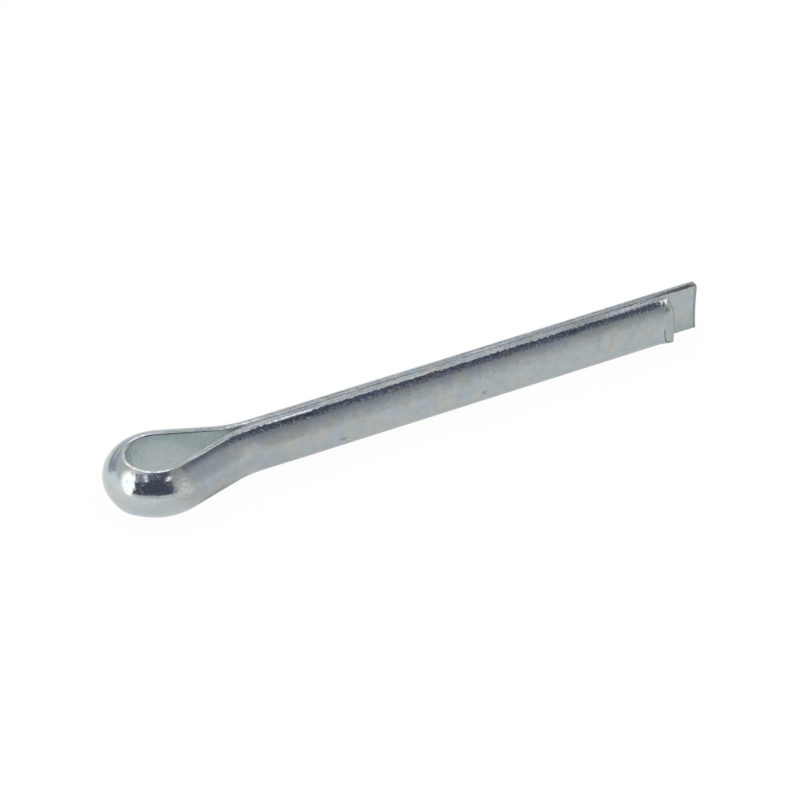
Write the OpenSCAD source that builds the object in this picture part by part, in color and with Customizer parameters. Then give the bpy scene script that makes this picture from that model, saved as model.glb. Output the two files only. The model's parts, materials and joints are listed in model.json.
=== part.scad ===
// Split cotter pin, made from one length of D-section wire.
// The wire is bent round into an eye, and its two legs lie flat side to flat side as a round shank.
// The pin lies on its side: X runs along the shank from the neck to the leg ends, and Z is up.
// The origin is on the shank's axis, where the straight legs begin.

/* [Shank] */
// Diameter of the round that the two legs make together
shank_d = 5.9; // [4.5:0.1:7.5]
// Depth by which the wire's sharp corners are flattened, top and bottom
corner_flat = 0.05; // [0.02:0.01:0.15]
// Straight length of the short leg
short_leg = 52.5; // [20:0.5:120]
// Length by which the long leg runs past the short one
leg_step = 3.5; // [1:0.1:8]
// Gap between the two flat sides
leg_gap = 0.2; // [0.1:0.05:0.6]

/* [Eye] */
// Inside diameter of the eye
eye_d = 6.8; // [5:0.1:10]
// Shift of the eye's centre towards the long leg
eye_shift = 0.2; // [0:0.05:0.4]

/* [Neck] */
// Mean angle at which the two sides of the eye leave the shank
neck_angle = 20.5; // [14:0.5:26]
// Radius of the bend from the shank into each side, on the shank's axis
neck_r = 13; // [6:0.5:18]

/* [Leg ends] */
// Length of the bevel that the shear leaves on the round side of each end
bevel_len = 2.2; // [0.5:0.1:4]
// Depth of that bevel at the end
bevel_depth = 1.65; // [0.2:0.05:1.8]
// Radius of the end's corners, top and bottom
end_corner_r = 0.4; // [0.1:0.1:1.5]

/* [Hidden] */
$fn = 96;
// Overshoot of a cut past the face that it opens
past = 1;
// The bends are this much fuller than the straights, and each straight runs this far into its bends
bend_swell = 0.005;
bend_lap = 0.1;

shank_r = shank_d / 2;
leg_h = shank_d - 2 * corner_flat;
long_leg = short_leg + leg_step;

// Radius of the arc that the shank round's own centre follows in the eye
track_r = (eye_d - leg_gap) / 2;
// Length of each side between its neck bend and the eye, for an eye that isn't shifted
side_len = (track_r * cos(neck_angle) - neck_r * (1 - cos(neck_angle))) / sin(neck_angle);
// Distance from the start of the straight legs back to the eye's centre
eye_back = (neck_r + track_r) * sin(neck_angle) + side_len * cos(neck_angle);

// Angle of the straight that runs from the neck bend over to the eye, when the eye has a shift
function side_angle(shift) =
    asin((neck_r + track_r) / norm([eye_back, neck_r - shift]))
    - atan2(neck_r - shift, eye_back);

// Where that straight leaves the eye, on the path of the shank round's centre
function eye_point(shift, angle) =
    [-eye_back + track_r * sin(angle), shift + track_r * cos(angle)];

// Where it meets the neck bend, on the same path
function neck_point(angle) =
    [-neck_r * sin(angle), neck_r - neck_r * cos(angle)];

// The wire's section: its flat side faces the other leg, and the first axis points away from there
module wire_section(swell = 0) {
    intersection() {
        circle(r = shank_r + swell);
        translate([leg_gap / 2 - swell, -leg_h / 2 - swell]) square([shank_d, leg_h + 2 * swell]);
    }
}

// A straight stretch of wire along X, from one distance to another
module straight_wire(from, to) {
    translate([from, 0, 0]) rotate([90, 0, 90]) linear_extrude(height = to - from) wire_section();
}

// What the shear takes off the end of a leg: the bevel on its round side, and its two corners
module end_cuts(leg) {
    translate([0, 0, -shank_r]) linear_extrude(height = shank_d)
        polygon([
            [leg - bevel_len, shank_r],
            [leg, shank_r - bevel_depth],
            [leg + past, shank_r - bevel_depth],
            [leg + past, shank_r + past],
            [leg - bevel_len, shank_r + past]
        ]);
    for (side = [0, 1]) mirror([0, 0, side])
        translate([leg - end_corner_r, shank_r + past, leg_h / 2 - end_corner_r])
            rotate([90, 0, 0]) linear_extrude(height = shank_r + 2 * past)
                difference() {
                    square(end_corner_r + past);
                    circle(r = end_corner_r);
                }
}

// One leg with its neck bend and its side of the eye, on the +Y side
module pin_side(leg, shift) {
    angle = side_angle(shift);
    eye_end = eye_point(shift, angle);
    difference() {
        straight_wire(-bend_lap, leg);
        end_cuts(leg);
    }
    translate([0, neck_r, 0]) rotate([0, 0, -90 - angle]) rotate_extrude(angle = angle)
        translate([neck_r, 0]) mirror([1, 0]) wire_section(bend_swell);
    translate([eye_end.x, eye_end.y, 0]) rotate([0, 0, -angle])
        straight_wire(-bend_lap, norm(neck_point(angle) - eye_end) + bend_lap);
}

// The eye, from the long leg's side round to the short leg's side
module eye() {
    long_angle = side_angle(eye_shift);
    short_angle = side_angle(-eye_shift);
    translate([-eye_back, eye_shift, 0]) rotate([0, 0, 90 - long_angle])
        rotate_extrude(angle = 180 + long_angle + short_angle)
            translate([track_r, 0]) wire_section(bend_swell);
}

module split_pin() {
    color("#b4babb") union() {
        pin_side(long_leg, eye_shift);
        eye();
        mirror([0, 1, 0]) pin_side(short_leg, -eye_shift);
    }
}

split_pin();
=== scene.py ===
import json
import math

import bpy
import numpy as np
from mathutils import Matrix, Vector


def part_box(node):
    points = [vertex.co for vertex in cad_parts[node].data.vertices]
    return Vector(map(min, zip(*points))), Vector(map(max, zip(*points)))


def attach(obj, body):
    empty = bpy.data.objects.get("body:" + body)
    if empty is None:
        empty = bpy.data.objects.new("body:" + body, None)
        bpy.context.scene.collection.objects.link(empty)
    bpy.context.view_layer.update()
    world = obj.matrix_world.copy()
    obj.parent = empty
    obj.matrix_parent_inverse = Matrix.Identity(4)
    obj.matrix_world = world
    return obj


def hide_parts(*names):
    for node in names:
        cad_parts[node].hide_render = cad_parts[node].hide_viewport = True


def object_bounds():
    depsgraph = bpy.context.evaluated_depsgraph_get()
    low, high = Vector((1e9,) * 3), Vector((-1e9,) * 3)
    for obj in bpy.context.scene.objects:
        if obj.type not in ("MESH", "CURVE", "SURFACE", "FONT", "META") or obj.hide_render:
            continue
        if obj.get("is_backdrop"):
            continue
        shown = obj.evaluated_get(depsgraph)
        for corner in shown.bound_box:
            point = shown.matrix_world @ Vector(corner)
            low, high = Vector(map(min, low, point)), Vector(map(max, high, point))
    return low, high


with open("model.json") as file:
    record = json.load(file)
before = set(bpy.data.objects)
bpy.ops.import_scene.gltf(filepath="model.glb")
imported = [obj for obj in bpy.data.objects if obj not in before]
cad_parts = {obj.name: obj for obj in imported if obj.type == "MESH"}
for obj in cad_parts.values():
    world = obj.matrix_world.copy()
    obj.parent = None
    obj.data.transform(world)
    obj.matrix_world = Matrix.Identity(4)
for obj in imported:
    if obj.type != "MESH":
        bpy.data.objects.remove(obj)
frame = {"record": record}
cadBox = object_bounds()
print("frame loaded")

# Working units are millimetres and degrees; meshes and places are scaled to metres where they meet Blender.
mm = 0.001


def colour(hexCode, alpha=1.0):
    # sRGB hex to the linear values that a shader takes
    parts = [int(hexCode[i:i + 2], 16) / 255 for i in (1, 3, 5)]
    return [c / 12.92 if c <= 0.04045 else ((c + 0.055) / 1.055) ** 2.4 for c in parts] + [alpha]


def addNode(tree, kind, inputs=None, **settings):
    # a node with its settings; an input takes a value, a socket to link from, or a node for its first output
    node = tree.nodes.new("ShaderNode" + kind)
    for name, value in settings.items():
        setattr(node, name, value)
    for name, value in (inputs or {}).items():
        if isinstance(value, bpy.types.Node):
            value = value.outputs[0]
        if isinstance(value, bpy.types.NodeSocket):
            tree.links.new(value, node.inputs[name])
        else:
            node.inputs[name].default_value = value
    return node


def newMaterial(name):
    material = bpy.data.materials.new(name)
    material.use_nodes = True
    material.node_tree.nodes.clear()
    return material, material.node_tree


def ease(x):
    # 0 below 0, 1 above 1, and a smooth step 3x^2 - 2x^3 between
    x = np.clip(x, 0, 1)
    return x * x * (3 - 2 * x)


def window(x, start, end, soft):
    # 1 from start to end and 0 outside, with both edges eased over the length soft
    return ease((x - start) / soft + 0.5) - ease((x - end) / soft + 0.5)


def graded(x, stops):
    # a value that goes smoothly from stop to stop; each stop is a place and the value there
    places, values = (np.array(column, float) for column in zip(*stops))
    i = np.clip(np.searchsorted(places, x) - 1, 0, len(places) - 2)
    return values[i] + (values[i + 1] - values[i]) * ease((x - places[i]) / (places[i + 1] - places[i]))


def ripple(x, y, wave, seed, count=14):
    # an even, shapeless roughness of about unit height: sine waves in all directions, with wavelengths within
    # about a third of wave, added up and scaled by the square root of their number
    random = np.random.default_rng(seed)
    total = np.zeros(np.broadcast(x, y).shape)
    for turn, phase, stretch in random.random((count, 3)):
        k = 2 * math.pi / (wave * (0.75 + 0.6 * stretch))
        forward = x * math.cos(math.pi * turn) + y * math.sin(math.pi * turn)
        total += np.sin(k * forward + 2 * math.pi * phase)
    return total * math.sqrt(2 / count)


def ripples(x, y, waves):
    # several ripples added up, each with its wavelength, strength and seed
    return sum(strength * ripple(x, y, wave, seed) for wave, strength, seed in waves)


# The pin is one length of D-section wire, from the short leg's end round the eye to the long leg's end.
# Places along the wire count from the back of the eye, and are negative on the near side and the short leg.

record = frame["record"]
mounts = {mount["name"]: mount for mount in record["mounts"]}
pinLow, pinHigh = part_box("split_pin")
shankR = mounts["shank"]["dims"]["r_mm"]
eyeX, eyeY = (c / mm for c in mounts["eye"]["pos_m"][:2])
trackR = eyeX - pinLow.x / mm - shankR      # radius that the shank round's own centre follows in the eye
longLeg = pinHigh.x / mm

pin = {
    "shortLeg": 52.5,        # straight length of the short leg
    "legGap": 0.2,           # between the two flat sides, where they leave the shank
    "legTouch": 0.02,        # hairline left between them along the shank
    "legOffset": 0.06,       # by how much that hairline lies towards the far leg
    "legStandOff": 0.06,     # by how much the wire's line is moved over beyond the far neck
    "legStandOffAt": (-8, 20, 14),          # its start and end from where that leg begins, and its soft edge
    "sideStandOff": 0.06,    # and beside the eye, on the near side
    "sideStandOffAt": (-3, 6),              # by how much both of its ends are moved, and its soft edge
    "legTwist": 3.5,         # by how many degrees the legs are turned about the shank's axis, against the eye
    "twistFrom": (-8.5, 14),                # places where that turn begins, on the near side and the far one
    "sectionEase": 4,        # length over which the turn begins and the section changes
    "eyeReach": 1,           # by how much the eye's section runs past where each neck's bend begins
    "roundedFrom": -8.5,     # place where the crease begins to be as high as in the eye
    "neckRadius": 13.0,      # of the bend from the shank into each side of the eye
    "bendEase": 1.2,         # length over which each bend begins and ends
    "pathStep": 0.02,        # of the sums that give the wire's line
    "station": 0.13,         # between two rings of the mesh
    "crease": 70.5,          # where the round back meets the land, in degrees up from the outermost line
    "eyeCrease": 79.0,       # the same in the eye, where the land is narrower
    "nearCrease": 1.5,       # by how much higher the crease lies on the near leg
    "creaseClear": 2.0,      # by how many degrees the crease stays below the inner edge's arc
    "creaseRound": 0.08,     # its radius
    "creaseJitter": 1.0,     # how far hammering moves it, in degrees
    "creaseRipples": [(0.55, 1.0, 4), (0.3, 0.7, 5)],
    "hammerDepth": 0.010,    # of the dents beside it
    "hammerRipples": [(0.55, 0.6, 7), (0.32, 0.5, 8)],
    "hammerFacing": (67, 95, 10),           # directions between which they lie, and their soft edge
    "unhammered": (-12.5, 10.5, 3.0),       # start, end and soft edge of the stretch without them
    "wornLand": (-8.5, 6.5, 3.5),           # and of the stretch where the land is worn smooth
    "landSlope": 87.0,       # direction that the land faces, in degrees from the outermost line
    "landTurn": 6.0,         # by how many degrees it may face farther round than the highest crease
    "landLeast": 0.02,       # its least width
    "bevelStart": 1.3,       # distance from the shank's axis at which each end's bevel starts
    "bevelSlope": 1.33,      # length of the bevel over its depth
    "bevelBlend": 0.1,       # length over which it runs into the end
    "biteFrom": 0.8,         # height from which it bites deeper or less deep
    "roundFrom": 2.4,        # height from which an end's top corner is rounded
    "edgeRound": 0.07,       # of the sheared edges
    "endStretch": 6.0,       # length of each leg that is drawn out or in, so that it ends on the shear
    "endSwell": 0.18,        # by how much the shear pressed out the underside of the short leg's end
    "endSwellLength": 2,
    "endSwellFacing": (25, 80, 25),         # directions between which it lies, and its soft edge
    "bevelShade": 0.13,       # half width of the painted shade line where the bevel begins
    "rimShade": (-2.4, 0.3, 0.5),            # heights between which the sheared edge has painted shade, and soft edge
    "spotAt": (1.8, 2.15),   # the painted shade spot's distance from the shank's axis, and its height
    "spotSpread": 0.12,      # the square of its size
}

# Steps in a ring's upper half: round back, crease, land, inner edge, and flat side down to its middle
ringSteps = (18, 3, 5, 6, 4)

# Rings that close each leg's end
endRings = 28

# Radius of the wire's inner edges by place along the wire, and its greatest value underneath, in the eye and
# on the legs
innerRound = [(-17.0, 0.06), (-13.5, 0.12), (1.0, 0.14), (2.6, 0.34), (4.6, 0.15), (16.0, 0.08), (66.5, 0.08),
              (69.5, 0.18), (75.0, 0.18)]
innerBelow = (0.26, 0.1)

# Small dents, or bumps where the depth is negative: place along the wire, distance up round its back, length,
# width and depth
marks = [(-27.0, -0.9, 0.35, 0.12, 0.04), (-44.6, -0.62, 0.25, 0.10, 0.03), (-56.9, 3.3, 0.7, 0.12, 0.04),
         (-58.2, 3.0, 0.5, 0.10, -0.03), (-1.5, -1.9, 1.0, 0.9, -0.15)]


def sideAngle(shift):
    # angle of the line that touches both the neck's arc and the eye's, one on each of its sides
    back, over = -eyeX, pin["neckRadius"] - shift
    return math.asin((pin["neckRadius"] + trackR) / math.hypot(back, over)) - math.atan2(over, back)


def sideLengths(shift):
    # lengths along one side: the eye's arc from its back, the straight, and the neck's arc
    angle = sideAngle(shift)
    run = -eyeX - (trackR + pin["neckRadius"]) * math.sin(angle)
    return trackR * (math.pi / 2 + angle), run / math.cos(angle), pin["neckRadius"] * angle


farSide, nearSide = sideLengths(eyeY), sideLengths(-eyeY)
farNeck, nearNeck = sum(farSide[:2]), sum(nearSide[:2])     # where each neck's bend begins, along the wire
farLeg, nearLeg = sum(farSide), sum(nearSide)               # where each straight leg begins
farEnd, nearEnd = farLeg + longLeg, nearLeg + pin["shortLeg"]
beyond = 200.0                                              # farther along the wire than either end

# Each leg's side and straight stretch, and how its end departs from a straight cut at its length: by how much
# its middle bulges, how far its top leans out, how much its top corner is rounded, how much deeper the bevel
# bites towards the top corner and how much less towards the bottom one, and how dark a spot of painted shade
# is at the top, where the burr shades it
legEnds = {
    "short": {"side": -1, "begins": nearLeg, "straight": pin["shortLeg"], "length": 52.55, "bulge": 0.43,
              "lean": 0.0, "round": 0.0, "bite": 0.12, "keep": 0.15, "spot": 1.0},
    "long": {"side": 1, "begins": farLeg, "straight": longLeg, "length": longLeg, "bulge": -0.11,
             "lean": 0.10, "round": 1.3, "bite": 0.0, "keep": 0.0, "spot": 0.0},
}


def wirePath(s):
    # The wire's line from above. Its curvature is one eased window for the eye and one for each neck bend;
    # summed over s it gives the heading, and the heading's cosine and sine summed give the points.
    step, soft = pin["pathStep"], pin["bendEase"]
    eyeBend, neckBend = 1 / trackR, 1 / pin["neckRadius"]
    fine = np.arange(-nearEnd, farEnd, step)
    bend = -eyeBend * window(fine, -nearSide[0], farSide[0], soft)
    bend += neckBend * window(fine, farNeck, farLeg, soft)
    bend += neckBend * window(fine, -nearLeg, -nearNeck, soft)
    heading = np.cumsum(bend) * step
    heading += math.pi / 2 - np.interp(0, fine, heading)
    x, y = np.cumsum(np.cos(heading)) * step, np.cumsum(np.sin(heading)) * step
    x += eyeX - trackR - np.interp(0, fine, x)
    y += eyeY - np.interp(0, fine, y)
    # the straight legs lie on the shank's axis, so what is left over is taken out along the two sides
    y -= y[-1] * ease(fine / farLeg) + y[0] * ease(-fine / nearLeg)
    # the far leg stands a hair off the near one beyond the neck, and the near side leaves the eye flatter
    start, end, soft = pin["legStandOffAt"]
    y += pin["legStandOff"] * window(fine, farLeg + start, farLeg + end, soft)
    moved, soft = pin["sideStandOffAt"]
    y += pin["sideStandOff"] * window(fine, moved - nearLeg, moved - nearSide[0], soft)
    return [np.interp(s, fine, values) for values in (x, y, heading)]


def wireSection(s, eyeness, rounded, inner):
    # The section's upper half at every station: an arc about the shank's axis, a small arc at the crease, the
    # straight land, the rounded inner edge, and the flat side down to its middle. It is followed by the
    # direction that it faces, so each part starts where the part before it ends. The crease stays clear of
    # the inner edge's arc, which would touch the back at cosine (gap + r) / (R - r). Returned: distance out
    # from the axis, height, facing angle, distance round the section.
    flatAt = 0.5 * (pin["legGap"] * eyeness + pin["legTouch"] * (1 - eyeness))
    flatAt += np.sign(s) * pin["legOffset"] * (1 - eyeness)
    highest = np.degrees(np.arccos((flatAt + inner) / (shankR - inner))) - pin["creaseClear"]
    jitter = pin["creaseJitter"] * ripples(s, 0, pin["creaseRipples"])
    crease = (pin["crease"] + pin["nearCrease"] * (s < 0)) * (1 - rounded) + pin["eyeCrease"] * rounded
    crease = np.minimum(crease + jitter * (1 - eyeness), highest)
    land = np.minimum(pin["landSlope"], highest + pin["landTurn"])
    inner, flatAt = inner[:, None], flatAt[:, None]
    crease, land = np.radians(crease)[:, None], np.radians(land)[:, None]
    small = pin["creaseRound"]
    shares = (np.linspace(0, 1, steps + 1)[None, :] for steps in ringSteps)
    toCrease, overCrease, toEdge, overEdge, toMiddle = shares

    # the back, with its points closer together towards the crease
    turn = crease * (toCrease * (1.6 - 0.6 * toCrease))
    parts = [(shankR * np.cos(turn), shankR * np.sin(turn), turn)]
    centreN, centreZ = (shankR - small) * np.cos(crease), (shankR - small) * np.sin(crease)
    turn = crease + (land - crease) * overCrease
    parts.append((centreN + small * np.cos(turn), centreZ + small * np.sin(turn), turn))
    width = (centreN + (small - inner) * np.cos(land) - flatAt - inner) / np.sin(land)
    walked = np.maximum(width, pin["landLeast"]) * toEdge
    startN, startZ = (values[:, -1:] for values in parts[-1][:2])
    parts.append((startN - walked * np.sin(land), startZ + walked * np.cos(land), land + 0 * walked))
    startN, startZ = (values[:, -1:] for values in parts[-1][:2])
    centreN, centreZ = startN - inner * np.cos(land), startZ - inner * np.sin(land)
    turn = land + (math.pi - land) * overEdge
    parts.append((centreN + inner * np.cos(turn), centreZ + inner * np.sin(turn), turn))
    startN, startZ = (values[:, -1:] for values in parts[-1][:2])
    parts.append((startN + 0 * toMiddle, startZ * (1 - toMiddle), math.pi + 0 * startZ * toMiddle))

    # each part goes without its first point, which the part before it ends with
    n, z, facing = (np.concatenate([parts[0][i]] + [part[i][:, 1:] for part in parts[1:]], axis=1)
                    for i in range(3))
    around = np.concatenate([0 * n[:, :1], np.cumsum(np.hypot(np.diff(n), np.diff(z)), axis=1)], axis=1)
    return n, z, facing, around


def wireRings(s):
    # The whole section at every station: the upper half, and a lower half that is turned upside down and
    # walked back the other way
    reach, soft = pin["eyeReach"], pin["sectionEase"]
    eyeness = window(s, -nearNeck - reach, farNeck + reach, soft)
    rounded = window(s, pin["roundedFrom"], farNeck + reach, soft)
    inner = graded(s, innerRound)
    below = np.minimum(inner, innerBelow[0] * eyeness + innerBelow[1] * (1 - eyeness))
    upper, lower = (wireSection(s, eyeness, rounded, radius) for radius in (inner, below))
    return [np.concatenate([over, sign * under[:, -2:0:-1]], axis=1)
            for over, under, sign in zip(upper, lower, (1, -1, -1, 1))]


def hammering(along, across, facing):
    # How far the surface is pushed out or in: ripples in a band beside the crease, a bell shape for each
    # mark, and the swollen underside of the short leg's end. Returned too: the marks' dents, for their
    # painted shade.
    push = ripples(along, across, pin["hammerRipples"])
    push *= pin["hammerDepth"] * (1 - window(along, *pin["unhammered"]))
    push *= window(np.degrees(np.abs(facing)), *pin["hammerFacing"])
    dented = 0 * along
    for place, height, length, width, depth in marks:
        shape = np.exp(-((along - place) / length) ** 2 - ((across - height) / width) ** 2)
        dented = np.maximum(dented, shape * (depth > 0))
        push -= depth * shape
    swollen = ease(1 - (nearEnd + along) / pin["endSwellLength"])
    push += pin["endSwell"] * swollen * window(np.degrees(-facing), *pin["endSwellFacing"])
    return push, dented


def bevelDepth(n, z, end):
    # distance that the bevel has sloped back from the end's plane; below 0 the bevel hasn't begun
    above, under = np.maximum(z - pin["biteFrom"], 0), np.maximum(-z - pin["biteFrom"], 0)
    return pin["bevelSlope"] * (n - pin["bevelStart"] + (end["bite"] * above ** 2 - end["keep"] * under ** 2))


def endFace(n, z, end):
    # distance along the leg of its sheared end: a nearly straight cut, and a bevel sloping back over the
    # round side; the nearer one counts, blended where they meet
    square = (z / shankR) ** 2
    cut = end["length"] - end["bulge"] * (square + 0.4 * square ** 2) + end["lean"] * z
    cut -= end["round"] * np.maximum(z - pin["roundFrom"], 0) ** 2
    bevel = bevelDepth(n, z, end)
    return cut - 0.5 * (bevel + np.sqrt(bevel ** 2 + pin["bevelBlend"] ** 2))


def shearedEnd(n, z, facing, end):
    # A leg's end, from the leg's last ring: three rings that turn over the sheared edge, then rings that
    # close on the middle, all at the end face's distance. Returned: the rings' points, the middle point, and
    # the painted shade.
    edge, rings = pin["edgeRound"], []
    for turn in np.radians([30, 60, 90]):
        inset = edge * (1 - math.cos(turn))
        ringN, ringZ = n - inset * np.cos(facing), z - inset * np.sin(facing)
        rings.append((ringN, ringZ, endFace(ringN, ringZ, end) - edge * (1 - math.sin(turn))))
    middle = 0.5 * (ringN.min() + ringN.max())
    overEdge = len(rings)
    for share in np.linspace(1, 0, endRings + 2)[1:-1]:
        closeN, closeZ = middle + (ringN - middle) * share, ringZ * share
        rings.append((closeN, closeZ, endFace(closeN, closeZ, end)))
    n, z, x = (np.array(values) for values in zip(*rings))
    points = np.stack([x, end["side"] * n, z], axis=2)
    pole = np.array([[endFace(middle, 0, end), end["side"] * middle, 0]])
    # painted shade along the shear's edges, for the shade of its burr and lips: the line where the bevel
    # begins, the edge of the round side below, and a spot at the top corner
    rim = np.arange(len(rings))[:, None] < overEdge
    shadeAndDarkening = np.exp(-(bevelDepth(n, z, end) / pin["bevelShade"]) ** 2) + rim * window(z, *pin["rimShade"])
    spotN, spotZ = pin["spotAt"]
    shadeAndDarkening += end["spot"] * np.exp(-((z - spotZ) ** 2 + (n - spotN) ** 2) / pin["spotSpread"])
    return points, pole, np.minimum(shadeAndDarkening, 1)


# Where the finish is another one. Each patch has, as start, end and soft edge, where it lies along the wire
# and round it: "up" is in degrees up from the outermost line, "across" in millimetres from there, and "toEnd"
# is the distance left to the far leg's end. Its strength is 1 unless it is given. A kind of surface is as
# strong as its strongest patch.
patches = {
    "polish": [
        {"along": (-5.3, 5.0, 1.4)},
        {"along": (-12.5, -7.6, 1.6), "up": (62, 120, 14), "strength": 0.4},
        {"along": (4.0, 7.4, 1.4), "up": (60, 175, 10)},
    ],
    "scuffed": [{"along": (-6.7, -5.0, 1.3), "across": (0.3, 4.3, 0.8)}],
    "inside": [{"along": (1 - nearLeg, farLeg - 1, 2.0), "up": (160, 200, 20)}],
    # faintly lightened: bare metal at the scuffed patch's outer edge, and a painted sheen on the near leg's
    # land
    "bareAndHighlight": [
        {"along": (-6.2, -4.9, 0.6), "across": (0.8, 4.0, 0.6), "strength": 0.2},
        {"along": (-50, -13, 12), "up": (80, 125, 6), "strength": 0.13},
    ],
}

# Painted shade under the far side's inner edge at the neck, where its rim shades the flat side; darkening on
# the far leg's land towards its end; a painted dark reflection below the near crease beyond the neck; and a
# darker line across the flat side just before the far leg's end
shadeAndDarkeningPatches = [
    {"along": (4, 13, 2), "up": (115, 170, 25), "strength": 0.5},
    {"along": (52.5, beyond, 25), "up": (75, 125, 6), "strength": 0.2},
    {"along": (-26, -17, 3), "across": (2.9, 3.45, 0.3), "strength": 0.45},
    {"toEnd": (0.12, 0.28, 0.1), "up": (150, 200, 20), "strength": 0.6},
]

# Painted highlight lines, along the far crease and the near one beyond the neck. Each has stops of a place
# along the wire and the distance round it there, and lies between its outer stops.
highlightLines = [
    [(13.3, 4.3), (14.4, 4.26), (16.2, 4.07), (20.0, 3.95)],
    [(-25.0, 3.83), (-15.0, 3.76)],
]

# The rest of the finish. Stretches are start, end and soft edge; "Up" is in degrees up from the outermost
# line.
finish = {
    "hammeredUp": (54, 82, 10),
    "landUp": (80, 125, 6),
    "tintFrom": 5.5,                # distance from the back of the eye where the flat side's painted light grows
    "tintEase": 8,                  # and the length over which it does
    "tornAndLitAlong": (-1, 2.2, 0.6),    # torn bare metal and a painted highlight at the near end's top corner, by distance from that end
    "tornAndLitUp": (60, 76, 4),          # where it lies round the wire at the end itself
    "tornAndLitRise": 8,                  # by how much higher it begins, for each millimetre from the end
    "tornAndLitRagged": 3,                # by how much its border wavers
    "highlightAcross": (-0.12, 0.12, 0.1),
    "highlightEase": 1.6,              # length over which a painted highlight line begins and ends
    "highlightStrength": 0.9,
    "partingShade": 0.6,             # strength of the painted shade in the legs' parting line
    "partingUnshaded": (-18, 17, 6),   # stretch of the wire without it
    "partingUp": (94, 165, 20),
    "stripeAcross": (4.0, 4.5, 0.2),    # the darker stripe, by distance round the wire
    "stripeFade": (1.25, 5.5),      # its strength at the end, and the length over which it falls by 1
    "stripeStop": (0.3, 0.5),       # how far before the end it stops, and over which length
    "dentShade": 0.75,               # strength of the painted shade in the marks' dents
}


def patchShape(patch, measures):
    # the patch's strength times one window for each measure that it names
    shape = patch.get("strength", 1.0)
    for name, values in measures.items():
        if name in patch:
            shape = shape * window(values, *patch[name])
    return shape


def finishMasks(along, across, up, dented):
    # each kind of surface as a share from 0 to 1: the patches, and what their windows alone can't give
    measures = {"along": along, "across": across, "up": up, "toEnd": farEnd - along}
    masks = {name: np.maximum.reduce([patchShape(patch, measures) for patch in listed])
             for name, listed in patches.items()}
    masks["band"] = (1 - window(along, *pin["unhammered"])) * window(up, *finish["hammeredUp"])
    masks["land"] = (1 - window(along, *pin["wornLand"])) * window(up, *finish["landUp"])
    masks["neck"] = ease((np.abs(along) - finish["tintFrom"]) / finish["tintEase"])

    # torn bare metal with a painted highlight at the near end's top corner, in a wedge that widens towards
    # the end
    fromEnd = nearEnd + along
    start, end, soft = finish["tornAndLitUp"]
    start = start + finish["tornAndLitRise"] * fromEnd + finish["tornAndLitRagged"] * ripple(along, across, 0.4, 9)
    wedge = window(fromEnd, *finish["tornAndLitAlong"]) * window(up, start, end, soft)
    masks["bareAndHighlight"] = np.maximum(masks["bareAndHighlight"], wedge)
    # and the painted highlight lines, which come and go
    patchy = ease(0.75 + 0.5 * ripple(along, across, 0.7, 10))
    for line in highlightLines:
        beside = across - graded(along, line)
        lit = window(along, line[0][0], line[-1][0], finish["highlightEase"])
        lit = lit * window(beside, *finish["highlightAcross"])
        masks["bareAndHighlight"] = np.maximum(masks["bareAndHighlight"], finish["highlightStrength"] * patchy * lit)

    # painted shade in the parting line of the legs, which comes and goes, and a darker stripe that grows
    # towards the far leg's end and stops just before it
    patchy = 0.35 + 0.65 * ease(0.5 + 0.6 * ripple(along, 0.2 * across, 2.2, 11))
    shadeAndDarkening = finish["partingShade"] * patchy * (1 - window(along, *finish["partingUnshaded"]))
    shadeAndDarkening *= window(up, *finish["partingUp"])
    toEnd = measures["toEnd"]
    strongest, fade = finish["stripeFade"]
    stop, soft = finish["stripeStop"]
    stripe = ease(strongest - toEnd / fade) * ease((toEnd - stop) / soft)
    shadeAndDarkening += stripe * window(across, *finish["stripeAcross"])
    shadeAndDarkening += sum(patchShape(patch, measures) for patch in shadeAndDarkeningPatches)
    masks["shadeAndDarkening"] = np.minimum(np.maximum(shadeAndDarkening, finish["dentShade"] * dented), 1)
    return masks


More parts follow.
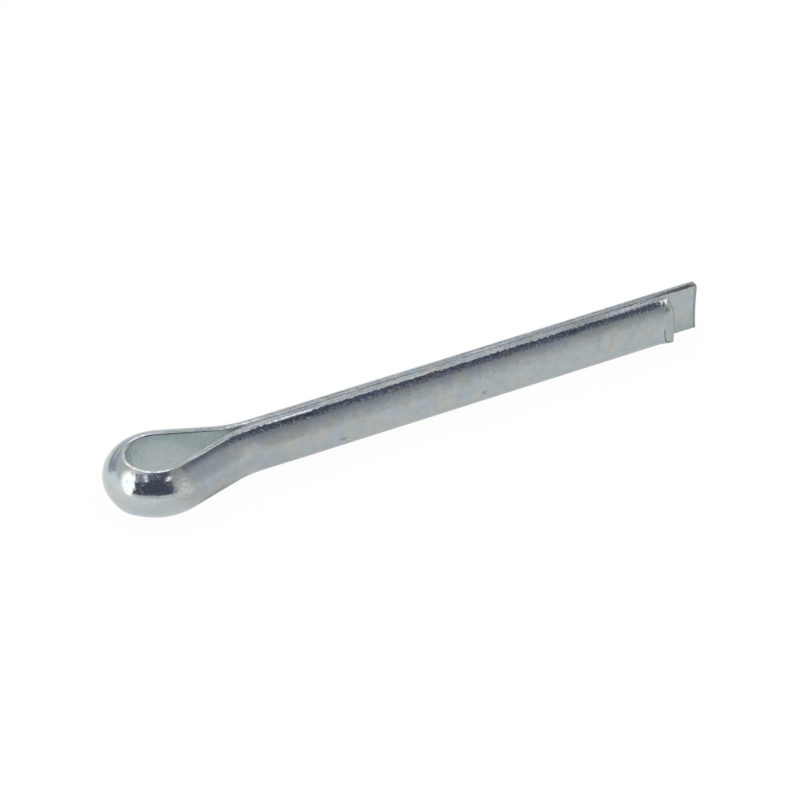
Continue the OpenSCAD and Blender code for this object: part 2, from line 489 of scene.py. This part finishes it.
def buildPin():
    # Rings of the section at even stations, each set square to the wire's line: out from the line by n, away
    # from the other leg, and up by z. Both ends close on a middle point.
    s = np.linspace(-nearEnd, farEnd, int((nearEnd + farEnd) / pin["station"]) + 1)
    n, z, facing, around = wireRings(s)
    along, across, up = s[:, None] + 0 * n, np.where(z > 0, around, -around), np.degrees(np.abs(facing))
    push, dented = hammering(along, across, facing)
    n, z = n + push * np.cos(facing), z + push * np.sin(facing)

    # the legs are turned together about the shank's axis, which turns the two sides opposite ways here
    nearFrom, farFrom = pin["twistFrom"]
    sides = [window(along, *ends, pin["sectionEase"]) for ends in ((-beyond, nearFrom), (farFrom, beyond))]
    turn = np.radians(pin["legTwist"] * (sides[0] - sides[1]))
    n, z = n * np.cos(turn) - z * np.sin(turn), z * np.cos(turn) + n * np.sin(turn)
    facing = facing + turn

    x, y, heading = (values[:, None] for values in wirePath(s))
    px, py = x - n * np.sin(heading), y + n * np.cos(heading)
    # each leg's last stretch is drawn out or in, so that its last ring lies on the sheared end
    for end in legEnds.values():
        left = end["begins"] + end["straight"] - end["side"] * along
        share = np.clip(1 - left / pin["endStretch"], 0, 1)
        px += share * (endFace(n, z, end) - pin["edgeRound"] - end["straight"])

    startCap, startPole, startShade = shearedEnd(n[0], z[0], facing[0], legEnds["short"])
    endCap, endPole, endShade = shearedEnd(n[-1], z[-1], facing[-1], legEnds["long"])
    rings = np.concatenate([startCap[::-1], np.stack([px, py, z], axis=2), endCap])
    points = np.concatenate([rings.reshape(-1, 3), startPole, endPole])

    rowCount, ringCount = rings.shape[:2]
    row, col = np.meshgrid(np.arange(rowCount - 1), np.arange(ringCount), indexing="ij")
    after = (col + 1) % ringCount
    quads = np.stack([row * ringCount + col, row * ringCount + after,
                      (row + 1) * ringCount + after, (row + 1) * ringCount + col], axis=2).reshape(-1, 4)
    col, after = col[0], after[0]
    last = (rowCount - 1) * ringCount
    startFan = np.stack([after, col, np.full(ringCount, len(points) - 2)], axis=1)
    endFan = np.stack([last + col, last + after, np.full(ringCount, len(points) - 1)], axis=1)
    mesh = bpy.data.meshes.new("split_pin_wire")
    mesh.from_pydata((points * mm).tolist(), [], quads.tolist() + startFan.tolist() + endFan.tolist())
    mesh.polygons.foreach_set("use_smooth", np.ones(len(mesh.polygons), bool))

    def withEnds(start, values, end):
        # a value for every vertex: the first end's rings, the wire's, the other end's, and both middle points
        return np.concatenate([start[::-1].ravel(), values.ravel(), end.ravel(), [0, 0]])

    # what the finish follows: place along the wire and distance round it, and the share of each kind of
    # surface, of which only the painted shade lies on the sheared ends
    wire = [withEnds(np.repeat(values[:1], len(startCap), 0), values, np.repeat(values[-1:], len(endCap), 0))
            for values in (along, around, 0 * around)]
    wire = np.stack(wire, axis=1).astype(np.float32)
    mesh.attributes.new("wire", "FLOAT_VECTOR", "POINT").data.foreach_set("vector", wire.ravel())
    for name, values in finishMasks(along, across, up, dented).items():
        shown = 1 if name == "shadeAndDarkening" else 0
        values = withEnds(shown * startShade, values, shown * endShade).astype(np.float32)
        mesh.attributes.new(name, "FLOAT", "POINT").data.foreach_set("value", values)
    mesh.validate()
    piece = bpy.data.objects.new("split_pin_wire", mesh)
    bpy.context.scene.collection.objects.link(piece)
    print("pin built:", len(mesh.polygons), "faces")
    return piece


steel = {
    "cool": "#abb4b7",      # clear blue passivate over bright zinc
    "warm": "#b9b7ac",      # where that film is thin it turns beige
    "inside": "#d9e4e4",    # the flat side inside the eye, lightened with painted light against the shade that falls there
    # lighter still towards the neck, where more shade falls: painted light
    "insideNeck": "#e4edeb",
    "bareAndHighlight": "#f4f6f7",      # bare zinc, and the colour of the painted highlights
    "legRoughness": 0.30,
    "bandRoughness": 0.14,
    "eyeRoughness": 0.07,
    "insideRoughness": 0.24,
    # the bare metal and painted highlights: rough, and mostly not metal, so that they show near white
    "bareAndHighlightRoughness": 0.6,
    "bareAndHighlightMetal": 0.2,
    "scuffedWarmth": 0.6,   # least share of beige in the scuffed patch
    "patchRoughness": 0.05,     # by how much a light patch is smoother, and a dark one rougher
    "landPits": 0.6,        # share of the band's pits on the lands
    # how much the painted shade and darkening darken the colour
    "shadeAndDarkeningStrength": 0.72,
    "lineScale": (0.16, 5.0, 1.0),      # lines drawn on the lands, per millimetre along the wire and round it
    "lineContrast": 2.4,
    "lineRelief": 0.08,     # in millimetres
    "unevenSize": 0.5,      # faint unevenness everywhere, in millimetres
    "unevenRelief": 0.014,
    "eyeUnevenRelief": 0.002,
}

# Patterns of the finish: the noise's size in millimetres, its detail and roughness, and the stretch of it
# that runs from one value to another
patterns = {
    "clouds": (2.6, 7.0, 0.7, (0.44, 0.70), (0.0, 1.0)),            # beige against blue
    "patches": (0.9, 7.0, 0.7, (0.3, 0.7), (0.91, 1.06)),           # finer ones of light and dark
    "grain": (0.14, 2.0, 0.5, (0.25, 0.75), (0.90, 1.10)),          # of the plating
    "speckles": (0.22, 3.0, 0.5, (0.3, 0.7), (-0.25, 0.25)),        # where the eye's polish is scuffed
    "pits": (0.26, 2.0, 0.5, (0.48, 0.62), (0.0, -0.45)),           # dark, in the hammered band
    "scuffs": (0.45, 4.0, 0.75, (0.47, 0.72), (0.0, 0.40)),         # added roughness, on the polish
    "dents": (0.30, 2.0, 0.5, (0.0, 1.0), (0.0, 0.036)),            # the band's relief, in millimetres
}


def zincPlatedSteel():
    # Zinc-plated steel, blue passivated: a soft grey metal sheen with a faint blue and beige cloudiness,
    # brighter and smoother where the eye was bent over its mandrel. Patterns are in millimetres.
    material, tree = newMaterial("zinc_plated_steel")
    coords = addNode(tree, "TexCoord")
    place = addNode(tree, "VectorMath", {0: coords.outputs["Object"], "Scale": 1 / mm}, operation="SCALE")
    wire = addNode(tree, "Attribute", attribute_name="wire").outputs["Vector"]
    mask = {name: addNode(tree, "Attribute", attribute_name=name).outputs["Fac"]
            for name in ("polish", "scuffed", "band", "land", "inside", "neck", "bareAndHighlight", "shadeAndDarkening")}
    pattern = {}
    for name, (size, detail, roughness, (low, high), (start, end)) in patterns.items():
        noise = addNode(tree, "TexNoise", {"Vector": place, "Scale": 1 / size, "Detail": detail,
                                           "Roughness": roughness})
        pattern[name] = addNode(tree, "MapRange", {"Value": noise, "From Min": low, "From Max": high,
                                                   "To Min": start, "To Max": end})

    # colour: beige clouds on the passivate, and the flat side inside the eye, lightened as painted light
    clouds = addNode(tree, "Math", {0: mask["scuffed"], 1: steel["scuffedWarmth"]}, operation="MULTIPLY")
    clouds = addNode(tree, "Math", {0: pattern["clouds"], 1: clouds}, operation="MAXIMUM")
    film = addNode(tree, "Mix", {0: clouds, 6: colour(steel["cool"]), 7: colour(steel["warm"])},
                   data_type="RGBA")
    bare = addNode(tree, "Mix", {0: mask["neck"], 6: colour(steel["inside"]), 7: colour(steel["insideNeck"])},
                   data_type="RGBA")
    tint = addNode(tree, "Mix", {0: mask["inside"], 6: film.outputs[2], 7: bare.outputs[2]}, data_type="RGBA")

    # lines drawn along the lands: noise stretched along the wire, whose middle value changes nothing
    stretched = addNode(tree, "Mapping", {"Vector": wire, "Scale": steel["lineScale"]})
    lines = addNode(tree, "TexNoise", {"Vector": stretched, "Scale": 1.0, "Detail": 3.0, "Roughness": 0.5})
    drawn = addNode(tree, "Math", {0: lines, 1: 0.5}, operation="SUBTRACT")
    onLand = addNode(tree, "Math", {0: mask["land"], 1: steel["lineContrast"]}, operation="MULTIPLY")
    drawn = addNode(tree, "Math", {0: drawn, 1: onLand, 2: 1.0}, operation="MULTIPLY_ADD")

    # lightness: patches, grain and lines, halved in strength on the polish, then speckles, pits, and the
    # painted shade and darkening
    light = addNode(tree, "Math", {0: pattern["patches"], 1: pattern["grain"]}, operation="MULTIPLY")
    light = addNode(tree, "Math", {0: light, 1: drawn}, operation="MULTIPLY")
    calmer = addNode(tree, "Math", {0: 1.0, 1: light}, operation="SUBTRACT")
    halved = addNode(tree, "Math", {0: mask["polish"], 1: 0.5}, operation="MULTIPLY")
    light = addNode(tree, "Math", {0: calmer, 1: halved, 2: light}, operation="MULTIPLY_ADD")
    pitted = addNode(tree, "Math", {0: mask["land"], 1: steel["landPits"], 2: mask["band"]},
                     operation="MULTIPLY_ADD")
    for change, share in ((pattern["speckles"], mask["scuffed"]), (pattern["pits"], pitted),
                          (mask["shadeAndDarkening"], -steel["shadeAndDarkeningStrength"])):
        factor = addNode(tree, "Math", {0: change, 1: share, 2: 1.0}, operation="MULTIPLY_ADD")
        light = addNode(tree, "Math", {0: light, 1: factor}, operation="MULTIPLY")
    # then the bare metal and the painted highlights, in near white
    tint = addNode(tree, "Mix", {0: mask["bareAndHighlight"], 6: tint.outputs[2], 7: colour(steel["bareAndHighlight"])},
                   data_type="RGBA")
    tint = addNode(tree, "VectorMath", {0: tint.outputs[2], "Scale": light}, operation="SCALE")

    # roughness: smoother in the light patches, then each kind of surface's own
    darkest, lightest = patterns["patches"][-1]
    swing = steel["patchRoughness"]
    rough = addNode(tree, "MapRange", {"Value": pattern["patches"], "From Min": darkest, "From Max": lightest,
                                       "To Min": steel["legRoughness"] + swing,
                                       "To Max": steel["legRoughness"] - swing})
    for name, kind in (("band", "band"), ("polish", "eye"), ("inside", "inside"), ("bareAndHighlight", "bareAndHighlight")):
        rough = addNode(tree, "Mix", {0: mask[name], 2: rough, 3: steel[kind + "Roughness"]},
                        data_type="FLOAT")
    # fine scuffs on the polished part scatter the light round them
    rough = addNode(tree, "Math", {0: pattern["scuffs"], 1: mask["polish"], 2: rough},
                    operation="MULTIPLY_ADD")

    # relief in millimetres: dents of the hammered band, drawn lines along the land, and a faint unevenness
    relief = addNode(tree, "Math", {0: pattern["dents"], 1: mask["band"]}, operation="MULTIPLY")
    depth = addNode(tree, "Math", {0: mask["land"], 1: steel["lineRelief"]}, operation="MULTIPLY")
    relief = addNode(tree, "Math", {0: lines, 1: depth, 2: relief}, operation="MULTIPLY_ADD")
    uneven = addNode(tree, "TexNoise", {"Vector": place, "Scale": 1 / steel["unevenSize"], "Detail": 4.0,
                                        "Roughness": 0.6})
    depth = addNode(tree, "MapRange", {"Value": mask["polish"], "To Min": steel["unevenRelief"],
                                       "To Max": steel["eyeUnevenRelief"]})
    relief = addNode(tree, "Math", {0: uneven, 1: depth, 2: relief}, operation="MULTIPLY_ADD")
    bump = addNode(tree, "Bump", {"Height": relief, "Distance": mm, "Strength": 1.0})
    metal = addNode(tree, "Math", {0: mask["bareAndHighlight"], 1: steel["bareAndHighlightMetal"] - 1, 2: 1.0},
                    operation="MULTIPLY_ADD")
    shader = addNode(tree, "BsdfPrincipled", {"Base Color": tint, "Roughness": rough, "Metallic": metal,
                                              "Normal": bump})
    addNode(tree, "OutputMaterial", {"Surface": shader})
    return material


pinPiece = buildPin()
pinPiece.data.materials.append(zincPlatedSteel())
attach(pinPiece, "root")
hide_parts("split_pin")

camera = {
    "lens": 225.0,          # on a 36 mm sensor
    "sensor": 36.0,
    "azimuth": -23.72,      # from straight on to the pin's side, round towards its eye
    "elevation": 35.304,
    "roll": 3.125,
    "distance": 566.0,      # to the point it is aimed at
    "aim": (-1.05, -0.36, -0.03),   # from the middle of the pin
}


def placeCamera():
    # the camera's axes from its azimuth and elevation, turned by its roll, and its place back along the view
    data = bpy.data.cameras.new("camera")
    data.lens, data.sensor_width = camera["lens"], camera["sensor"]
    data.clip_start, data.clip_end = 0.05, 20.0     # metres
    a, e, roll = (math.radians(camera[k]) for k in ("azimuth", "elevation", "roll"))
    back = Vector((math.sin(a) * math.cos(e), -math.cos(a) * math.cos(e), math.sin(e)))
    right = Vector((math.cos(a), math.sin(a), 0))
    up = back.cross(right)
    turned = right * math.cos(roll) - up * math.sin(roll)
    up = right * math.sin(roll) + up * math.cos(roll)
    middle = (cadBox[0] + cadBox[1]) / 2
    aim = middle + Vector(camera["aim"]) * mm
    matrix = Matrix((turned, up, back)).transposed().to_4x4()
    matrix.translation = aim + back * camera["distance"] * mm
    made = bpy.data.objects.new("camera", data)
    made.matrix_world = matrix
    bpy.context.scene.collection.objects.link(made)
    bpy.context.scene.camera = made


placeCamera()

studio = {
    "floorSize": 3.0,       # metres
    # what the pin mirrors of the floor, by distance along the shank in millimetres
    "mirrored": [(-50.0, "#ffffff"), (-25.0, "#f6f4f3"), (-12.0, "#e7e8e9"), (-6.0, "#d5d6d8"),
                 (16.0, "#e0e1e3")],
    "mirroredStrength": 1.3,
    "underLegs": 0.82,      # its share under the legs
    "legShade": (0.3, 1.3),     # from where to where that shade fades, in shank radii off the shank's axis
    "inEye": 0.56,          # and its share inside the eye's drop shape
    "dropLean": 0.62,       # by how much that shape runs out towards the neck
    "shadow": 0.04,         # share of the floor's colour that takes the shadow
    "tentRadius": 1.2,      # metres
    "unpainted": 0.95,      # grey of the tent where no panel lies
}

# What the pin mirrors. Each panel of the tent paints over the panels before it. Azimuth is from the camera's
# own, to its right, and elevation is from the pin, both in degrees from one edge to the other, with None for
# no edge and edges that fade over soft degrees. A panel may also have edges on a ceiling that is one unit
# above the pin: the direction that an edge faces, 0 to the camera's right and 90 towards it, its distance
# that way, and the width over which it fades.
tentPanels = [
    {"azimuth": (44, 130), "elevation": (-4, None), "soft": 20, "colour": "#ffffff", "strength": 1.04},
    {"elevation": (40, None), "soft": 30, "colour": "#f4f8ff", "strength": 0.70},
    {"elevation": (58, None), "soft": 20, "colour": "#eef3ff", "strength": 0.38},
    {"azimuth": (-118, -50), "elevation": (-20, 26), "soft": 14, "colour": "#ffffff", "strength": 1.3},
    {"azimuth": (-168, -119), "elevation": (5, 30), "soft": 10, "colour": "#e4e9fa", "strength": 0.62},
    # a grey card on the right, which the eye's near side mirrors
    {"azimuth": (67, 112), "elevation": (3, 46), "soft": 12, "colour": "#f4f8ff", "strength": 0.68},
    # the softbox on the left, leaning over the pin
    {"azimuth": (None, -54), "soft": 2, "colour": "#ffffff", "strength": 2.3,
     "edges": [(36.9, -0.44, 0.06), (20.3, -0.516, 0.06), (245.4, 0.72, 0.4)]},
    # dark cloth in front, round the camera
    {"azimuth": (-54, None), "elevation": (5, 38), "soft": 2, "colour": "#5e6277", "strength": 1.0,
     "edges": [(-36.9, 0.08, 0.06), (90, 3.7, 1.0)]},
    {"elevation": (36, None), "soft": 2, "colour": "#5e6277", "strength": 1.0,
     "edges": [(216.9, 0.44, 0.06), (-36.9, 0.08, 0.06), (270, 0.05, 0.1)]},
    # and over the pin
    {"colour": "#5e6277", "strength": 1.3,
     "edges": [(200.3, 0.516, 0.06), (0, 0.46, 0.12), (90, 0.14, 0.1), (270, 0.8, 0.2)]},
    # folds of it beside the softbox catch some light
    {"colour": "#dfe0f5", "strength": 0.5,
     "edges": [(200.3, 0.516, 0.06), (0, -0.3, 0.08), (90, 0.25, 0.3), (270, 0.9, 0.2)]},
    {"colour": "#ffffff", "strength": 1.1,
     "edges": [(200.3, 0.516, 0.06), (0, -0.19, 0.06), (90, -0.42, 0.15), (270, 0.9, 0.2)]},
    # two slits in it
    {"colour": "#ffffff", "strength": 1.9,
     "edges": [(8, -0.25, 0.05), (188, 0.31, 0.05), (90, 0.24, 0.1), (270, 0.36, 0.3)]},
    {"colour": "#ffffff", "strength": 2.2,
     "edges": [(0, 0.23, 0.05), (180, -0.15, 0.05), (90, 0.28, 0.1), (270, 0.1, 0.1)]},
    # a long lamp behind the pin, which the lands mirror, with its dimmer middle between two bright tubes
    {"colour": "#ffffff", "strength": 1.45,
     "edges": [(0, 0.13, 0.1), (180, 0.12, 0.1), (90, -1.22, 0.06), (270, 1.62, 0.05)]},
    {"colour": "#ffffff", "strength": 2.2,
     "edges": [(0, -0.03, 0.1), (180, 0.28, 0.05), (90, -1.0, 0.12), (270, 1.26, 0.06)]},
    {"colour": "#ffffff", "strength": 2.3,
     "edges": [(0, 0.02, 0.08), (180, 0.28, 0.05), (90, -1.6, 0.05), (270, 1.95, 0.12)]},
    # the wall behind it
    {"colour": "#f0f2ff", "strength": 0.94, "edges": [(90, -1.95, 0.3), (0, 6.0, 3.0), (180, 2.0, 0.6)]},
]


def stageObject(name, mesh, material):
    made = bpy.data.objects.new(name, mesh)
    made.data.materials.append(material)
    bpy.context.scene.collection.objects.link(made)
    made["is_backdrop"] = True
    return made


def makeFloor(low):
    # a square of paper at the height low, plain white to the camera, that takes a share of the pin's shadow
    half = studio["floorSize"] / 2
    corners = [(-half, -half, low), (half, -half, low), (half, half, low), (-half, half, low)]
    mesh = bpy.data.meshes.new("floor")
    mesh.from_pydata(corners, [], [(0, 1, 2, 3)])
    material, tree = newMaterial("floor_paper")
    rays = addNode(tree, "LightPath")
    # mirrored in the pin, the paper is brighter on the left, under the softbox
    place = addNode(tree, "TexCoord").outputs["Object"]
    parts = addNode(tree, "SeparateXYZ", {0: place})
    glow = colour(studio["mirrored"][0][1])
    for (start, _), (end, code) in zip(studio["mirrored"], studio["mirrored"][1:]):
        step = addNode(tree, "MapRange", {"Value": parts.outputs[0], "From Min": start * mm,
                                          "From Max": end * mm}, interpolation_type="SMOOTHSTEP")
        glow = addNode(tree, "Mix", {0: step, 6: glow, 7: colour(code)}, data_type="RGBA").outputs[2]
    # darker under the legs: by distance from the shank's axis, or from where the legs begin
    aside = addNode(tree, "Math", {0: parts.outputs[1]}, operation="ABSOLUTE")
    before = addNode(tree, "Math", {0: shankR * mm, 1: parts.outputs[0]}, operation="SUBTRACT")
    aside = addNode(tree, "Math", {0: aside, 1: before}, operation="MAXIMUM")
    start, end = (share * shankR * mm for share in studio["legShade"])
    shade = addNode(tree, "MapRange", {"Value": aside, "From Min": start, "From Max": end,
                                       "To Min": studio["underLegs"] * studio["mirroredStrength"],
                                       "To Max": studio["mirroredStrength"]})
    glow = addNode(tree, "VectorMath", {0: glow, "Scale": shade}, operation="SCALE")
    # and inside the eye's drop shape: its distance from the eye's centre, less a share of the way to the neck
    around = addNode(tree, "VectorMath", {0: place, 1: (eyeX * mm, eyeY * mm, low)}, operation="DISTANCE")
    ahead = addNode(tree, "Math", {0: parts.outputs[0], 1: eyeX * mm}, operation="SUBTRACT")
    ahead = addNode(tree, "Math", {0: ahead, 1: 0.0}, operation="MAXIMUM")
    around = addNode(tree, "Math", {0: ahead, 1: -studio["dropLean"], 2: around.outputs["Value"]},
                     operation="MULTIPLY_ADD")
    shade = addNode(tree, "MapRange", {"Value": around, "To Min": studio["inEye"],
                                       "From Min": trackR * mm, "From Max": (trackR + 1) * mm})
    glow = addNode(tree, "VectorMath", {0: glow, "Scale": shade}, operation="SCALE")
    shown = addNode(tree, "Mix", {0: rays.outputs["Is Camera Ray"], 6: glow, 7: (1, 1, 1, 1)},
                    data_type="RGBA")
    white = addNode(tree, "Emission", {"Color": shown.outputs[2], "Strength": 1.0})
    paper = addNode(tree, "BsdfDiffuse", {"Color": (1, 1, 1, 1)})
    seen = rays.outputs["Is Camera Ray"]
    for name in ("Is Glossy Ray", "Is Transmission Ray"):
        seen = addNode(tree, "Math", {0: seen, 1: rays.outputs[name]}, operation="MAXIMUM")
    share = addNode(tree, "Math", {0: seen, 1: 1 - studio["shadow"]}, operation="MULTIPLY")
    both = addNode(tree, "MixShader", {0: share, 1: paper, 2: white})
    addNode(tree, "OutputMaterial", {"Surface": both})
    return stageObject("floor", mesh, material)


def makeTent(middle):
    # a half sphere over the pin: each point's direction from the middle, scaled to the tent's radius
    turn, rise = np.meshgrid(np.radians(np.arange(0, 361, 5)), np.radians(np.arange(-2, 91, 4)),
                             indexing="ij")
    shell = np.stack([np.cos(turn) * np.cos(rise), np.sin(turn) * np.cos(rise), np.sin(rise)], axis=2)
    points = shell.reshape(-1, 3) * studio["tentRadius"] + np.array([middle.x, middle.y, 0])
    rows, cols = turn.shape
    row, col = np.meshgrid(np.arange(rows - 1), np.arange(cols - 1), indexing="ij")
    first = row * cols + col
    quads = np.stack([first, first + 1, first + cols + 1, first + cols], axis=2).reshape(-1, 4)
    mesh = bpy.data.meshes.new("tent")
    mesh.from_pydata(points.tolist(), [], quads.tolist())
    material, tree = newMaterial("tent_cloth")
    place = addNode(tree, "TexCoord").outputs["Object"]
    # turned so that the camera stands at azimuth 0, with positive azimuth to its right
    turned = addNode(tree, "Mapping", {"Vector": place, "Location": (-middle.x, -middle.y, 0)})
    turned = addNode(tree, "Mapping", {"Vector": turned,
                                       "Rotation": (0, 0, math.radians(90 - camera["azimuth"]))})
    unit = addNode(tree, "VectorMath", {0: turned}, operation="NORMALIZE")
    parts = addNode(tree, "SeparateXYZ", {0: unit})
    azimuth = addNode(tree, "Math", {0: parts.outputs[1], 1: parts.outputs[0]}, operation="ARCTAN2")
    elevation = addNode(tree, "Math", {0: parts.outputs[2]}, operation="ARCSINE")
    azimuth = addNode(tree, "Math", {0: azimuth}, operation="DEGREES")
    elevation = addNode(tree, "Math", {0: elevation}, operation="DEGREES")
    # places on the ceiling, towards the camera and across the view
    steep = addNode(tree, "Math", {0: parts.outputs[2], 1: 0.02}, operation="MAXIMUM")
    towards = addNode(tree, "Math", {0: parts.outputs[0], 1: steep}, operation="DIVIDE")
    across = addNode(tree, "Math", {0: parts.outputs[1], 1: steep}, operation="DIVIDE")

    painted = [studio["unpainted"]] * 3 + [1.0]
    for panel in tentPanels:
        # each edge: what it bounds, where it lies, over how much it fades, and 1 if the panel lies below it
        # or -1 if it lies above
        edges = [(angle, edge, panel["soft"], sign)
                 for angle, name in ((azimuth, "azimuth"), (elevation, "elevation"))
                 for edge, sign in zip(panel.get(name, (None, None)), (-1, 1)) if edge is not None]
        for facing, distance, soft in panel.get("edges", []):
            facing = math.radians(facing)
            reach = addNode(tree, "Math", {0: across, 1: math.cos(facing)}, operation="MULTIPLY")
            reach = addNode(tree, "Math", {0: towards, 1: math.sin(facing), 2: reach},
                            operation="MULTIPLY_ADD")
            edges.append((reach, distance, soft, 1))
        mask = None
        for value, edge, soft, sign in edges:
            fade = addNode(tree, "MapRange", {"Value": value, "From Min": edge + sign * soft / 2,
                                              "From Max": edge - sign * soft / 2},
                           interpolation_type="SMOOTHSTEP")
            mask = fade if mask is None else addNode(tree, "Math", {0: mask, 1: fade}, operation="MULTIPLY")
        light = [c * panel["strength"] for c in colour(panel["colour"])]
        painted = addNode(tree, "Mix", {0: mask, 6: painted, 7: light}, data_type="RGBA").outputs[2]
    glow = addNode(tree, "Emission", {"Color": painted, "Strength": 1.0})
    addNode(tree, "OutputMaterial", {"Surface": glow})
    tent = stageObject("tent", mesh, material)
    tent.visible_camera = tent.visible_diffuse = tent.visible_shadow = False


def makeWorld():
    world = bpy.data.worlds.new("studio")
    bpy.context.scene.world = world
    world.use_nodes = True
    tree = world.node_tree
    tree.nodes.clear()
    sky = addNode(tree, "Background", {"Color": (1, 1, 1, 1), "Strength": 1.0})
    addNode(tree, "OutputWorld", {"Surface": sky})


makeFloor(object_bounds()[0].z)
makeTent((cadBox[0] + cadBox[1]) / 2)
makeWorld()
bpy.context.scene.view_settings.view_transform = "Standard"
print("studio ready")
